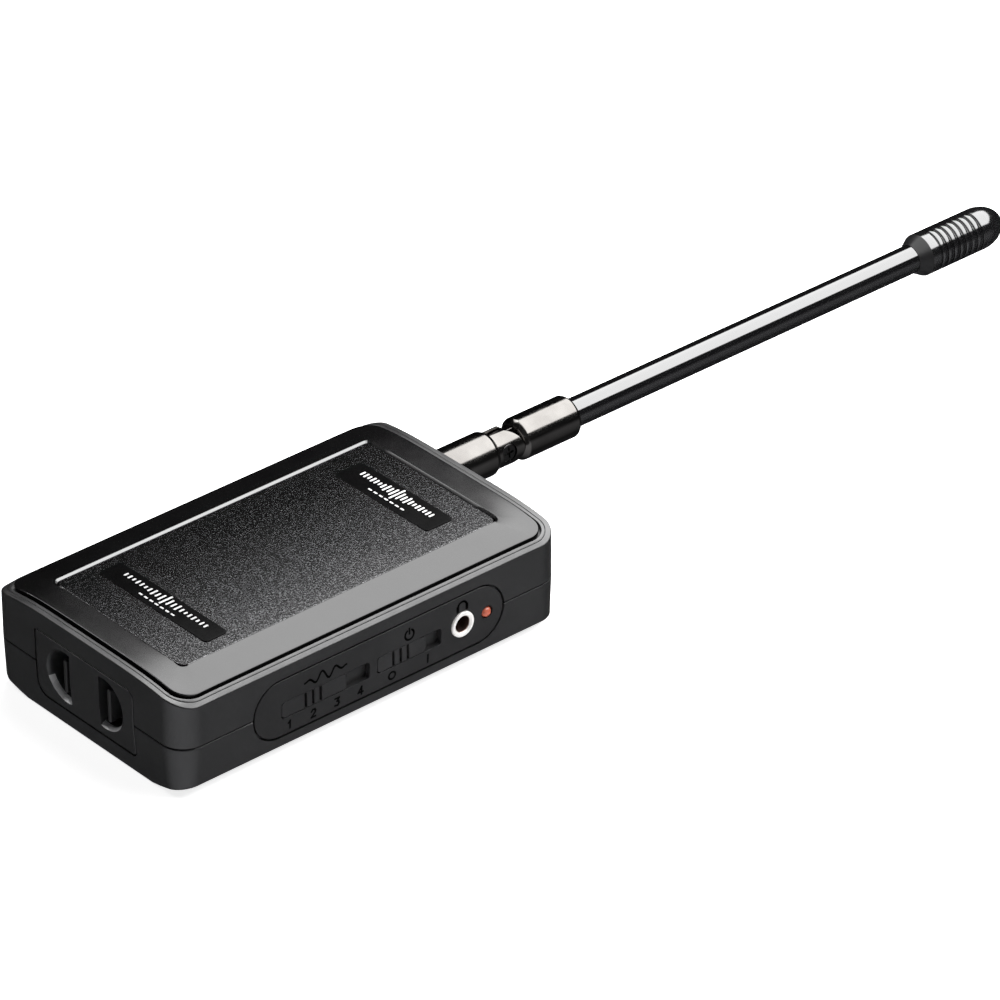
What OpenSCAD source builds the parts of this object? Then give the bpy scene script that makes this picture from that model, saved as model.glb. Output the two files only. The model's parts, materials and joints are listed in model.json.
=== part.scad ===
// Wireless receiver unit: a hand-sized plastic housing lying on its back, face up, with slide
// switches, an audio socket and a lamp on one long side, twin plug sockets in the near end and a
// swivelling, folding rod antenna at the far end. Origin: centre of the underside. +X is the
// control side, +Y runs toward the antenna, +Z is up. All sizes in millimetres.

/* [Housing] */
// Width across the long sides
body_w = 60.6; // [59.6:0.1:61.6]
// Length without the antenna
body_l = 100.5; // [99.5:0.1:102]
// Height from the underside to the flat of the face frame
body_h = 24.5; // [24.2:0.1:25.5]
// Height of the joint line between the two shells
part_z = 11.7; // [11.2:0.1:12.2]
// Radius of the four upright corners
corner_r = 5.6; // [4.8:0.1:6.4]
// Width of the level middle band of the face and of the underside
flat_w = 42; // [40:0.5:43]
// Inward lean of the lower shell walls at the bottom edge
draft = 0.5; // [0.2:0.1:0.8]
// Thickness of the upright walls
wall = 2.2; // [2:0.1:2.4]

/* [Face] */
// Face frame width
frame_w = 56.8; // [56:0.1:57.4]
// Face frame length
frame_l = 95.2; // [94.4:0.1:95.8]
// Drop of the frame from the level band to its long edges
frame_drop = 1.6; // [1.2:0.1:1.9]
// Width of the sunk face panel opening
panel_w = 41; // [40:0.1:41.5]
// Length of the sunk face panel opening
panel_l = 82.4; // [80:0.1:84]
// Depth of the face panel below the frame
panel_sink = 0.45; // [0.3:0.05:1.2]

/* [Controls] */
// Height of the control strip
strip_h = 13.5; // [13:0.1:14]
// Length of the control strip
strip_l = 65.4; // [64:0.2:67]
// Height of both slider windows
slot_h = 4; // [3.8:0.1:4.4]
// Travel of the frequency slider over its four positions
freq_travel = 5.76; // [5.2:0.02:5.76]
// Travel of the power slider from off to on
power_travel = 3.9; // [3.4:0.05:3.9]
// Bore of the audio socket for a 3.5 mm plug
jack_bore = 3.6; // [3.55:0.05:3.7]
// Outside diameter of the audio socket bush
jack_od = 5.8; // [5.6:0.1:6.2]

/* [Plug sockets] */
// Distance from the middle to the straight side of each D-shaped socket
dee_x = 4.7; // [4.4:0.1:5]
// Radius of the round side of each D-shaped socket
dee_r = 6.05; // [5.8:0.05:6.1]
// Depth of the D-shaped sockets
dee_depth = 9; // [7:0.5:9]

/* [Antenna] */
// Radius of the swivelling base
base_r = 5; // [4.8:0.05:5.1]
// Distance from the centre of the housing to the fold pivot
pivot_y = 73; // [72.6:0.1:73.4]
// Lean of the fold pivot above the level of the face
pivot_lean = 8; // [0:1:30]
// Radius of the rod
rod_r = 3.26; // [3:0.02:3.4]
// Distance from the centre of the housing to the end of the tip
tip_y = 221.3; // [200:0.5:230]

/* [Hidden] */
$fn = 96;
e = 0.01;                       // small overrun of cutting tools
hw = body_w/2;                  // half width
hl = body_l/2;                  // half length
hf = flat_w/2;                  // half width of the level band
rim_z = body_h - 0.6;           // top of the shell rim beside the frame
side_top = body_h - 3.4;        // top of the upright long walls
side_bot = 2.1;                 // foot of the upright long walls
rim_x = hw - 1.35;              // where the rim turns down into the shoulder
seam = 0.15;                    // half of the gap at the joint line
deck_z = body_h - 4.6;          // underside of the deck that carries the face
seat_z = body_h - 2.9;          // seat of the frame and of the panel
floor_z = 2.6;                  // top of the lower shell floor
groove = 0.55;                  // gap round the face frame
ctrl_y = 1.4;                   // middle of the control strip
ctrl_z = 11.45;                 // height of the control strip axis
ctrl_x = hw - 1.4;              // back of the control strip
slot_z = 10.85;                 // axis of the slider windows
freq_y = [-24.3, -1.34];        // ends of the frequency window
power_y = [0.62, 17.6];         // ends of the power window
fit = 0.1;                      // sliding gap at the window ends
freq_len = freq_y[1] - freq_y[0] - 2*fit - freq_travel;
power_len = power_y[1] - power_y[0] - 2*fit - power_travel;
freq_c = freq_y[0] + fit + freq_len/2;
power_c = power_y[0] + fit + power_len/2;
stem = [3.4, 1.7];              // slider stem length and height
jack_y = 23.15;                 // audio socket axis
lamp_y = 29.8;                  // lamp axis
jack_z = 11.4;                  // height of the audio socket and the lamp
dee_c = dee_x + 1.55;           // middle of the round side of a D-shaped socket
dee_z = 12.1;                   // height of the sockets
fin_x = [6.55, 7.55];           // sides of the fin in each socket
plate_w = 31.4;                 // socket plate width
plate_z = [4.1, 19.34];         // socket plate foot and top
screw_x = hw - 4.9;             // housing screw positions
screw_y = hl - 7.25;
ant_x = -16.3;                  // antenna axis
ant_z = part_z;
base_end = 70.2;                // far end of the swivelling base
board_z = 5.6;                  // underside of the circuit board
board_t = 1.6;                  // its thickness
bt = board_z + board_t;         // its top face
bat = [26.4, 46.4, 17.4];       // battery case
bat_x = -6.2;                   // battery middle
bat_y = -10.8;
bat_z = 1.9;
door = [27, 51.2, 1.5];         // battery door
door_y = [-34.25, 16.95];       // ends of the battery door
hinge_y = door_y[0] + door[2]/2;
hinge_z = door[2]/2;

shell_c = [0.10, 0.10, 0.11];
frame_c = [0.16, 0.16, 0.17];
panel_c = [0.25, 0.25, 0.26];
metal_c = [0.80, 0.80, 0.82];
dark_c = [0.05, 0.05, 0.06];
board_c = [0.05, 0.32, 0.18];

// --- shared shapes ---

// rounded rectangle outline
module plan(w, l, r) {
    square([w - 2*r, l], center = true);
    square([w, l - 2*r], center = true);
    for (x = [-1, 1], y = [-1, 1]) translate([x*(w/2 - r), y*(l/2 - r)]) circle(r);
}

// rounded block between two heights
module slab(w, l, r, z0, z1) {
    translate([0, 0, z0]) linear_extrude(z1 - z0) plan(w, l, r);
}

// block from its two opposite corners
module span(x, y, z) {
    translate([x[0], y[0], z[0]]) cube([x[1] - x[0], y[1] - y[0], z[1] - z[0]]);
}

// outline drawn in X and Z, run along Y
module run_y(l) rotate([90, 0, 0]) translate([0, 0, -l/2]) linear_extrude(l) children();

// outline drawn in Y and Z, run along X
module run_x(l) rotate([90, 0, 90]) translate([0, 0, -l/2]) linear_extrude(l) children();

// round bar along +X
module bar_x(x0, x1, r) translate([x0, 0, 0]) rotate([0, 90, 0]) cylinder(h = x1 - x0, r = r);

// round bar along +Y
module bar_y(y0, y1, r, r2 = -1)
    translate([0, y1, 0]) rotate([90, 0, 0]) cylinder(h = y1 - y0, r1 = r2 < 0 ? r : r2, r2 = r);

// bar with two rounded ends, outline in Y and Z, between two X planes
module pill_x(x0, x1, y0, y1, h) {
    translate([(x0 + x1)/2, 0, 0]) run_x(x1 - x0) {
        translate([y0 + h/2, -h/2]) square([y1 - y0 - h, h]);
        for (y = [y0 + h/2, y1 - h/2]) translate([y, 0]) circle(h/2);
    }
}

// whole outside form of the closed housing
module outer_form() {
    intersection() {
        slab(body_w, body_l, corner_r, 0, rim_z);
        run_y(body_l + 2) polygon([
            [hw, part_z], [hw, side_top], [rim_x, side_top + 1.4], [hf, rim_z],
            [-hf, rim_z], [-rim_x, side_top + 1.4], [-hw, side_top], [-hw, part_z],
            [-hw + draft, side_bot], [-hf, 0], [hf, 0], [hw - draft, side_bot]]);
        run_x(body_w + 2) polygon([
            [hl, part_z], [hl, rim_z - 0.5], [hl - 0.5, rim_z], [-hl + 0.5, rim_z],
            [-hl, rim_z - 0.5], [-hl, part_z], [-hl + draft, 0.6], [-hl + draft + 0.6, 0],
            [hl - draft - 0.6, 0], [hl - draft, 0.6]]);
    }
}

// openings that both shells share: control strip, sliders, audio socket, lamp, plug sockets, antenna
module shared_openings() {
    translate([0, 0, ctrl_z])
        pill_x(ctrl_x, hw + 1, ctrl_y - strip_l/2 - 0.12, ctrl_y + strip_l/2 + 0.12, strip_h + 0.24);
    translate([0, 0, slot_z]) {
        span([hw - 4, hw], [freq_c - stem[0]/2 - fit, freq_c + stem[0]/2 + freq_travel + fit],
             [-stem[1]/2 - 0.05, stem[1]/2 + 0.05]);
        span([hw - 4, hw], [power_c - stem[0]/2 - fit, power_c + stem[0]/2 + power_travel + fit],
             [-stem[1]/2 - 0.05, stem[1]/2 + 0.05]);
    }
    span([hw - 4, hw], [jack_y - 3.1, jack_y + 3.1], [jack_z - 3.1, jack_z + 3.1]);
    translate([0, lamp_y, jack_z]) bar_x(hw - 4, hw, 1.5);
    span([-plate_w/2 - 0.12, plate_w/2 + 0.12], [-hl - 1, -hl + wall + 1],
         [plate_z[0] - 0.12, plate_z[1] + 0.12]);
    translate([ant_x, 0, ant_z]) bar_y(hl - wall - 1, hl + 1, base_r - 0.35);
}

// D-shaped socket outline in X and Z, grown by g
module dee(g) {
    intersection() {
        translate([dee_c, dee_z]) circle(dee_r + g);
        translate([dee_x - g, 0]) square([20, 30]);
    }
}

// --- housing ---

module upper_shell() {
    color(shell_c) difference() {
        union() {
            difference() {
                intersection() {
                    outer_form();
                    span([-hw - 1, hw + 1], [-hl - 1, hl + 1], [part_z + seam, body_h]);
                }
                slab(body_w - 2*wall, body_l - 2*wall, corner_r - 2, part_z - 1, deck_z);
            }
            for (x = [-1, 1], y = [-1, 1]) translate([x*screw_x, y*screw_y, part_z + seam])
                cylinder(h = deck_z - part_z - seam + e, r = 2.9);
            // lip that drops inside the lower shell
            difference() {
                slab(body_w - 2*wall + 0.8, body_l - 2*wall + 0.8, corner_r - 1.6, part_z - 1, part_z + 1);
                slab(body_w - 2*wall - 1, body_l - 2*wall - 1, corner_r - 2.5, part_z - 2, part_z + 2);
                for (x = [-1, 1], y = [-1, 1]) translate([x*screw_x, y*screw_y, part_z - 2])
                    cylinder(h = 2 + seam, r = 3);
            }
        }
        slab(frame_w + 2*groove, frame_l + 2*groove, 4.4, seat_z, body_h + 1);
        shared_openings();
        for (x = [-1, 1], y = [-1, 1]) translate([x*screw_x, y*screw_y, part_z - 1])
            cylinder(h = 6.5, r = 0.85);
    }
}

module lower_shell() {
    color(shell_c) difference() {
        union() {
            difference() {
                intersection() {
                    outer_form();
                    span([-hw - 1, hw + 1], [-hl - 1, hl + 1], [0, part_z - seam]);
                }
                slab(body_w - 2*wall - 0.4, body_l - 2*wall - 0.4, corner_r - 2.1, floor_z, part_z);
            }
            for (x = [-1, 1], y = [-1, 1]) translate([x*screw_x, y*screw_y, floor_z - e])
                cylinder(h = part_z - seam - floor_z + e, r = 2.7);
            // posts that carry the circuit board
            for (p = [[14, -34], [24.5, -34], [14, 35], [-23, 24]])
                translate([p[0], p[1], floor_z - e]) cylinder(h = board_z - floor_z + e, r = 1.8);
        }
        // rebate for the lip of the upper shell
        difference() {
            slab(body_w - 2*wall + 1, body_l - 2*wall + 1, corner_r - 1.5, part_z - 1.1, part_z + 1);
            for (x = [-1, 1], y = [-1, 1]) translate([x*screw_x, y*screw_y, part_z - 2])
                cylinder(h = 4, r = 2.7);
        }
        shared_openings();
        for (x = [-1, 1], y = [-1, 1]) translate([x*screw_x, y*screw_y, -1]) {
            cylinder(h = floor_z + 2, r = 2.1);
            cylinder(h = part_z + 1, r = 1.1);
        }
        for (p = [[14, -34], [24.5, -34], [14, 35], [-23, 24]])
            translate([p[0], p[1], floor_z + 0.4]) cylinder(h = 5, r = 0.65);
        // battery door opening, hinge pin holes and the grip recess
        span([bat_x - door[0]/2 - 0.1, bat_x + door[0]/2 + 0.1], [door_y[0] - 0.15, door_y[1] + 0.15],
             [-1, floor_z + 1]);
        translate([0, hinge_y, hinge_z]) bar_x(bat_x - door[0]/2 - 1.4, bat_x + door[0]/2 + 1.4, 0.55);
        translate([bat_x, door_y[1] + 0.3, -2.8]) sphere(r = 3.6);
    }
}

module face_frame() {
    color(frame_c) difference() {
        intersection() {
            slab(frame_w, frame_l, 4.2, seat_z, body_h);
            run_y(frame_l + 2) polygon([
                [-frame_w/2, seat_z], [frame_w/2, seat_z], [frame_w/2, body_h - frame_drop],
                [hf, body_h], [-hf, body_h], [-frame_w/2, body_h - frame_drop]]);
        }
        slab(panel_w, panel_l, 2, seat_z - 1, body_h + 1);
    }
}

module face_panel() {
    color(panel_c) difference() {
        slab(panel_w - 0.2, panel_l - 0.2, 1.9, seat_z, body_h - panel_sink);
        for (p = [[31.15, 29.4, 7.3], [-29.4, 34.4, 5.85]])
            translate([-0.5, p[0], 0]) slab(p[1] + 0.1, p[2] + 0.1, 0.55, body_h - panel_sink - 0.3, body_h);
    }
}

// label plate set in the face panel
module label_plate(y, w, l) {
    color(dark_c) translate([-0.5, y, 0])
        slab(w, l, 0.5, body_h - panel_sink - 0.3, body_h - panel_sink + 0.2);
}

module label_plate_far() label_plate(31.15, 29.4, 7.3);

module label_plate_near() label_plate(-29.4, 34.4, 5.85);

module housing_screws() {
    color(metal_c) for (x = [-1, 1], y = [-1, 1]) translate([x*screw_x, y*screw_y, 0]) difference() {
        union() {
            translate([0, 0, 2]) cylinder(h = 1.6, r = 1.9);
            translate([0, 0, 3.6 - e]) cylinder(h = part_z - 3.6 + seam, r = 1);
            translate([0, 0, part_z + seam - e]) cylinder(h = 5, r = 0.85);
        }
        for (a = [0, 90]) rotate([0, 0, a]) translate([-1.2, -0.2, 1.5]) cube([2.4, 0.4, 1.1]);
    }
}

module battery_door() {
    color(shell_c) difference() {
        union() {
            span([bat_x - door[0]/2, bat_x + door[0]/2], [hinge_y, door_y[1]], [0, door[2]]);
            translate([0, hinge_y, hinge_z]) bar_x(bat_x - door[0]/2, bat_x + door[0]/2, door[2]/2);
            translate([0, hinge_y, hinge_z]) bar_x(bat_x - door[0]/2 - 1.2, bat_x + door[0]/2 + 1.2, 0.5);
        }
        // grip ridges near the free end
        for (i = [0:4]) translate([bat_x - 6, door_y[1] - 7 - 1.6*i, -e]) cube([12, 0.7, 0.35]);
        translate([bat_x, door_y[1] + 0.3, -2.8]) sphere(r = 3.6);
    }
}

// --- plug sockets in the near end ---

module socket_plate() {
    color(shell_c) difference() {
        union() {
            intersection() {
                outer_form();
                translate([0, -hl, 0]) rotate([90, 0, 0]) translate([0, 0, -wall])
                    linear_extrude(2*wall) translate([0, (plate_z[0] + plate_z[1])/2])
                        plan(plate_w, plate_z[1] - plate_z[0], 1);
            }
            for (m = [0, 1]) mirror([m, 0, 0])
                translate([0, -hl + 1, 0]) rotate([90, 0, 0]) mirror([0, 0, 1])
                    linear_extrude(dee_depth) dee(1);
        }
        for (m = [0, 1]) mirror([m, 0, 0]) {
            translate([0, -hl - 1, 0]) rotate([90, 0, 0]) mirror([0, 0, 1])
                linear_extrude(dee_depth + 1) dee(0);
            // slot in the socket floor that holds the fin
            span([fin_x[0] - 0.02, fin_x[1] + 0.02], [-hl + dee_depth - 1, -hl + dee_depth + 0.5],
                 [dee_z - 4.22, dee_z + 3.52]);
        }
    }
}

module socket_fins() {
    color([0.22, 0.22, 0.23]) for (m = [0, 1]) mirror([m, 0, 0])
        span(fin_x, [-hl + 0.6, -hl + dee_depth + 0.5], [dee_z - 4.2, dee_z + 3.5]);
}

// --- controls ---

module control_plate() {
    color(shell_c) difference() {
        intersection() {
            outer_form();
            translate([0, 0, ctrl_z]) pill_x(ctrl_x, hw + 1, ctrl_y - strip_l/2, ctrl_y + strip_l/2, strip_h);
        }
        for (y = [freq_y, power_y]) span([hw - 3, hw + 1], y, [slot_z - slot_h/2, slot_z + slot_h/2]);
        translate([0, jack_y, jack_z]) bar_x(hw - 3, hw + 1, jack_od/2 + 0.05);
        translate([0, lamp_y, jack_z]) bar_x(hw - 3, hw + 1, 1.5);
    }
}

// slider cap with three finger slots and a stem that reaches into the switch
module slider(c, len) {
    color(shell_c) translate([0, c, slot_z]) difference() {
        union() {
            translate([(ctrl_x + 0.05 + hw - 0.1)/2, 0, 0]) run_x(hw - 0.1 - ctrl_x - 0.05)
                plan(len, slot_h - 0.14, 0.9);
            span([hw - 6.3, ctrl_x + 0.1], [-stem[0]/2, stem[0]/2], [-stem[1]/2, stem[1]/2]);
        }
        for (i = [-1, 0, 1]) span([hw - 0.9, hw + 1], [i*1.92 - 0.65, i*1.92 - 0.05], [-1.75, 1.75]);
    }
}

module freq_slider() slider(freq_c, freq_len);

module power_slider() slider(power_c, power_len);

// folded metal slide switch body with its stem slot
module switch_can(c, travel, half) {
    color(metal_c) difference() {
        span([hw - 9.3, hw - 2.75], [c + travel/2 - half, c + travel/2 + half], [bt + 0.1, 14.5]);
        span([hw - 6.5, hw], [c - stem[0]/2 - fit, c + stem[0]/2 + travel + fit],
             [slot_z - stem[1]/2 - 0.05, slot_z + stem[1]/2 + 0.05]);
    }
}

module freq_switch() switch_can(freq_c, freq_travel, 11);

module power_switch() switch_can(power_c, power_travel, 7);

module switch_pins() {
    color(metal_c) {
        for (i = [0:4], x = [hw - 8.3, hw - 5.2])
            translate([x, freq_c + freq_travel/2 - 8 + 4*i, board_z - 1]) cylinder(h = board_t + 1.1, r = 0.35);
        for (i = [0:2], x = [hw - 8.3, hw - 5.2])
            translate([x, power_c + power_travel/2 - 4 + 4*i, board_z - 1]) cylinder(h = board_t + 1.1, r = 0.35);
    }
}

module jack_bush() {
    color(metal_c) translate([0, jack_y, jack_z]) difference() {
        union() {
            bar_x(hw - 2.75, hw + 0.25, jack_od/2);
            bar_x(hw + 0.25 - e, hw + 0.45, jack_od/2 - 0.2);
        }
        bar_x(hw - 3, hw + 1, jack_bore/2);
    }
}

module jack_body() {
    color(dark_c) difference() {
        span([hw - 15.8, hw - 2.75], [jack_y - 3.75, jack_y + 3.75], [bt + 0.2, 15.2]);
        translate([0, jack_y, jack_z]) bar_x(hw - 14.6, hw, jack_bore/2);
    }
}

module jack_pins() {
    color(metal_c) for (x = [hw - 14, hw - 9, hw - 4.5], y = [-2.6, 2.6])
        translate([x, jack_y + y, board_z - 1]) cylinder(h = board_t + 1.2, r = 0.4);
}

module lamp_lens() {
    color([0.95, 0.35, 0.2]) translate([0, lamp_y, jack_z]) {
        bar_x(hw - 5.6, hw - 4.7, 1.9);
        bar_x(hw - 4.8, hw - 0.9, 1.4);
        translate([hw - 0.9, 0, 0]) sphere(r = 1.4);
    }
}

module lamp_leads() {
    color(metal_c) for (y = [-1.27, 1.27]) translate([hw - 6.1, lamp_y + y, board_z - 1]) {
        cylinder(h = jack_z - board_z + 1.25, r = 0.25);
        translate([0, 0, jack_z - board_z + 1]) bar_x(0, 0.5, 0.25);
    }
}

// --- circuit ---

module circuit_board() {
    color(board_c) translate([0, 0, board_z]) difference() {
        linear_extrude(board_t) polygon([[9.9, -37.5], [hw - 3.4, -37.5], [hw - 3.4, 38.8],
            [-26.6, 38.8], [-26.6, 19.4], [9.9, 19.4]]);
        for (p = [[14, -34], [24.5, -34], [14, 35], [-23, 24]])
            translate([p[0], p[1], -1]) cylinder(h = 4, r = 1.1);
        for (i = [0:4], x = [hw - 8.3, hw - 5.2])
            translate([x, freq_c + freq_travel/2 - 8 + 4*i, -1]) cylinder(h = 4, r = 0.4);
        for (i = [0:2], x = [hw - 8.3, hw - 5.2])
            translate([x, power_c + power_travel/2 - 4 + 4*i, -1]) cylinder(h = 4, r = 0.4);
        for (x = [hw - 14, hw - 9, hw - 4.5], y = [-2.6, 2.6])
            translate([x, jack_y + y, -1]) cylinder(h = 4, r = 0.45);
        for (y = [-1.27, 1.27]) translate([hw - 6.1, lamp_y + y, -1]) cylinder(h = 4, r = 0.3);
    }
}

module board_screws() {
    color(metal_c) for (p = [[14, -34], [24.5, -34], [14, 35], [-23, 24]])
        translate([p[0], p[1], 0]) {
            translate([0, 0, bt]) cylinder(h = 1.1, r = 1.9);
            translate([0, 0, board_z]) cylinder(h = board_t + e, r = 1);
            translate([0, 0, floor_z + 0.8]) cylinder(h = board_z - floor_z - 0.8 + e, r = 0.65);
        }
}

module shield_can() {
    color(metal_c) difference() {
        span([-18.5, 4.5], [20.8, 36.8], [bt, bt + 5.2]);
        span([-18.2, 4.2], [21.1, 36.5], [bt - 1, bt + 4.9]);
        for (x = [-16:3:2], y = [24.5, 28.8, 33.1]) translate([x, y, bt + 4]) cylinder(h = 3, r = 0.7);
    }
}

module tuner_chip() {
    color(dark_c) span([-11, -3], [25, 33], [bt, bt + 1.4]);
}

module audio_chip() {
    color(dark_c) span([12, 16], [-12, -2], [bt, bt + 1.6]);
}

module tuning_coils() {
    color(metal_c) for (y = [24, 30.5]) difference() {
        span([6.5, 12], [y - 2.75, y + 2.75], [bt, bt + 7]);
        translate([9.25, y, bt + 4]) cylinder(h = 4, r = 1.6);
    }
}

module crystal_can() {
    color(metal_c) translate([12.4, -20, bt]) linear_extrude(3.5) plan(4.4, 10.8, 2.1);
}

module electrolytic_caps() {
    color([0.12, 0.12, 0.3]) for (y = [4, 11]) translate([14, y, bt]) cylinder(h = 7.5, r = 2.5);
}

module chip_capacitors() {
    color([0.6, 0.45, 0.3]) for (i = [0:5]) translate([18.6, -13 + 3.2*i, bt]) cube([1.6, 0.8, 0.8]);
}

// --- battery ---

module battery_cradle() {
    color(shell_c) difference() {
        span([bat_x - 14.7, bat_x + 14.7], [-35.4, 18.2], [floor_z + 0.2, deck_z - 0.05]);
        span([bat_x - 13.7, bat_x + 13.7], [-34.4, 17.2], [0, deck_z + 1]);
        span([bat_x - 3, bat_x + 3], [16, 19], [8, 12]);
    }
}

module battery_case() {
    color([0.75, 0.6, 0.2]) translate([bat_x, bat_y, bat_z]) slab(bat[0], bat[1], 1.5, 0, bat[2]);
}

module battery_studs() {
    color(metal_c) for (x = [-6.35, 6.35])
        translate([bat_x + x, bat_y + bat[1]/2, bat_z + bat[2]/2]) bar_y(0, 2.1, x < 0 ? 2.8 : 3.4);
}

module snap_plate() {
    color(dark_c) span([bat_x - 12.5, bat_x + 12.5], [14.9, 16.6], [4, 17.5]);
}

module snap_contacts() {
    color(metal_c) for (x = [-6.35, 6.35])
        translate([bat_x + x, 14.53, bat_z + bat[2]/2]) bar_y(0, 0.35, 3);
}

// --- antenna: swivels on its own axis, then folds at the knuckle ---

module antenna_bushing() {
    color(metal_c) translate([ant_x, 0, ant_z]) difference() {
        union() {
            bar_y(hl - wall - 1.45, hl - wall - 0.6, base_r + 0.4);
            bar_y(hl - wall - 0.7, hl + 0.05, base_r - 0.4);
        }
        bar_y(hl - 6, hl + 1, 3.05);
    }
}

module antenna_base() {
    color(metal_c) translate([ant_x, 0, ant_z]) difference() {
        union() {
            bar_y(hl + 0.15, base_end - 1, base_r);
            bar_y(base_end - 1 - e, base_end, base_r, base_r - 0.5);
            bar_y(hl - 5.4, hl + 0.2, 3);
        }
        bar_y(hl + 10, base_end + 1, 4);
    }
}

module antenna_clip() {
    color(metal_c) translate([ant_x, 0, ant_z]) difference() {
        bar_y(hl - 4.6, hl - 3.7, 4.6);
        bar_y(hl - 5, hl - 3, 3);
    }
}

module antenna_contact() {
    color(metal_c) translate([ant_x, 0, 0]) {
        span([-1.5, 1.5], [38, 38.6], [bt, ant_z + 1.5]);
        span([-1.5, 1.5], [38, hl - 5.55], [ant_z + 1.2, ant_z + 1.6]);
        span([-1.5, 1.5], [hl - 5.95, hl - 5.5], [ant_z - 1.5, ant_z + 1.6]);
        span([-1.5, 1.5], [36.9, 38.1], [bt, bt + 0.3]);
    }
}

// places a child at the fold pivot with the pivot lying along X
module at_pivot() translate([ant_x, pivot_y, ant_z]) rotate([0, -pivot_lean, 0]) children();

module antenna_knuckle() {
    color(metal_c) difference() {
        union() {
            translate([ant_x, 0, ant_z]) bar_y(hl + 12, base_end + 0.1, 3.98);
            intersection() {
                translate([ant_x, 0, ant_z]) bar_y(base_end + 0.05, pivot_y + 4.2, 4.28);
                at_pivot() union() {
                    bar_x(-5, 5, 4.2);
                    span([-5, 5], [-5, 0], [-5, 5]);
                }
            }
        }
        at_pivot() {
            span([-1.25, 1.25], [-3.5, 6], [-5, 5]);
            bar_x(-6, 6, 1.02);
            bar_x(2.7, 6, 2);
        }
    }
}

module hinge_screw() {
    color(metal_c) at_pivot() difference() {
        union() {
            bar_x(-3.4, 2.8, 1);
            bar_x(2.75, 3.95, 1.9);
        }
        for (a = [0, 90]) rotate([a, 0, 0]) span([3.45, 4.5], [-1.2, 1.2], [-0.22, 0.22]);
    }
}

module antenna_tongue() {
    color(metal_c) at_pivot() difference() {
        union() {
            bar_x(-1.15, 1.15, 3.4);
            span([-1.15, 1.15], [0, 4.3], [-3.4, 3.4]);
            bar_y(4.3 - e, 16, 3.3);
        }
        bar_x(-3, 3, 1.05);
    }
}

module antenna_collar() {
    color(metal_c) translate([ant_x, 0, ant_z]) difference() {
        union() {
            bar_y(pivot_y + 4.4, pivot_y + 6.2, 3.75, 4.8);
            bar_y(pivot_y + 6.2 - e, 92.3, 4.8);
            bar_y(92.3 - e, 93.2, 4.8, 4);
        }
        bar_y(pivot_y, 95, rod_r + 0.06);
    }
}

module antenna_rod() {
    color(dark_c) translate([ant_x, 0, ant_z]) difference() {
        bar_y(pivot_y + 16.1, tip_y - 17, rod_r);
        bar_y(pivot_y + 15, tip_y - 16, 1.3);
    }
}

module antenna_whip() {
    color([0.8, 0.5, 0.3]) translate([ant_x, 0, ant_z]) bar_y(pivot_y + 16.2, tip_y - 17.2, 1.2);
}

module antenna_tip() {
    tip_r = 4.87;
    color(dark_c) translate([ant_x, 0, ant_z]) difference() {
        union() {
            bar_y(tip_y - 27.2, tip_y - 24.2, rod_r + 0.15, tip_r);
            bar_y(tip_y - 24.2 - e, tip_y - tip_r, tip_r);
            translate([0, tip_y - tip_r, 0]) sphere(r = tip_r);
        }
        bar_y(tip_y - 30, tip_y - 17, rod_r + 0.02);
        for (i = [0:7]) translate([0, tip_y - 21 + 1.8*i, 0]) difference() {
            bar_y(-0.3, 0.3, tip_r + 1);
            bar_y(-1, 1, tip_r - 0.45);
        }
    }
}

upper_shell();
lower_shell();
face_frame();
face_panel();
label_plate_far();
label_plate_near();
housing_screws();
battery_door();
socket_plate();
socket_fins();
control_plate();
freq_slider();
power_slider();
freq_switch();
power_switch();
switch_pins();
jack_bush();
jack_body();
jack_pins();
lamp_lens();
lamp_leads();
circuit_board();
board_screws();
shield_can();
tuner_chip();
audio_chip();
tuning_coils();
crystal_can();
electrolytic_caps();
chip_capacitors();
battery_cradle();
battery_case();
battery_studs();
snap_plate();
snap_contacts();
antenna_bushing();
antenna_base();
antenna_clip();
antenna_contact();
antenna_knuckle();
hinge_screw();
antenna_tongue();
antenna_collar();
antenna_rod();
antenna_whip();
antenna_tip();
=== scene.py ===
"""Looks of the wireless receiver unit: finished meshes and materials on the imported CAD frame.

Sizes are in millimetres in the row frame (+X control side, +Y antenna, +Z up) and are read
from the CAD boxes; piece() turns them into metres.
"""

import json
from math import acos, cos, exp, log, pi, radians, sin

import bmesh
import bpy
from mathutils import Matrix, Vector


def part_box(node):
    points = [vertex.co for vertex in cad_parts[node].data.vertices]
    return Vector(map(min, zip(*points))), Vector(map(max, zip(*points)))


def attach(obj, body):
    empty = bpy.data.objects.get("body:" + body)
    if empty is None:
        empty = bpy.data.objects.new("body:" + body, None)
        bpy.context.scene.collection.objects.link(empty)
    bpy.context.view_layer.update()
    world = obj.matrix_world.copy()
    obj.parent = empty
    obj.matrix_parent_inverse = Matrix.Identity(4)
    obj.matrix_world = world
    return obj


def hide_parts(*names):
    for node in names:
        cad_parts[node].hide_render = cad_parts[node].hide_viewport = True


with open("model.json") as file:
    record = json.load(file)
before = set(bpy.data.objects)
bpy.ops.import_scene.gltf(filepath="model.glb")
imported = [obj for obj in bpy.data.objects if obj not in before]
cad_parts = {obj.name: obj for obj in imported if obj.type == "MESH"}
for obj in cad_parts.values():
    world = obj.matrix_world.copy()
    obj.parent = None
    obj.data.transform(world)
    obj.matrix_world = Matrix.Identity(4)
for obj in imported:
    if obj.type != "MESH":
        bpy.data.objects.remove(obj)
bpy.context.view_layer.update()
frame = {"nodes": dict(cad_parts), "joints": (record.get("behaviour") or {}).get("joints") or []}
MM = 0.001

# ---------------------------------------------------------------- measurements


def box(node):
    """Lowest and highest corner of a CAD node, in millimetres."""
    low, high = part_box(node)
    return low / MM, high / MM


def middle(node):
    low, high = box(node)
    return (low + high) / 2


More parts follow.
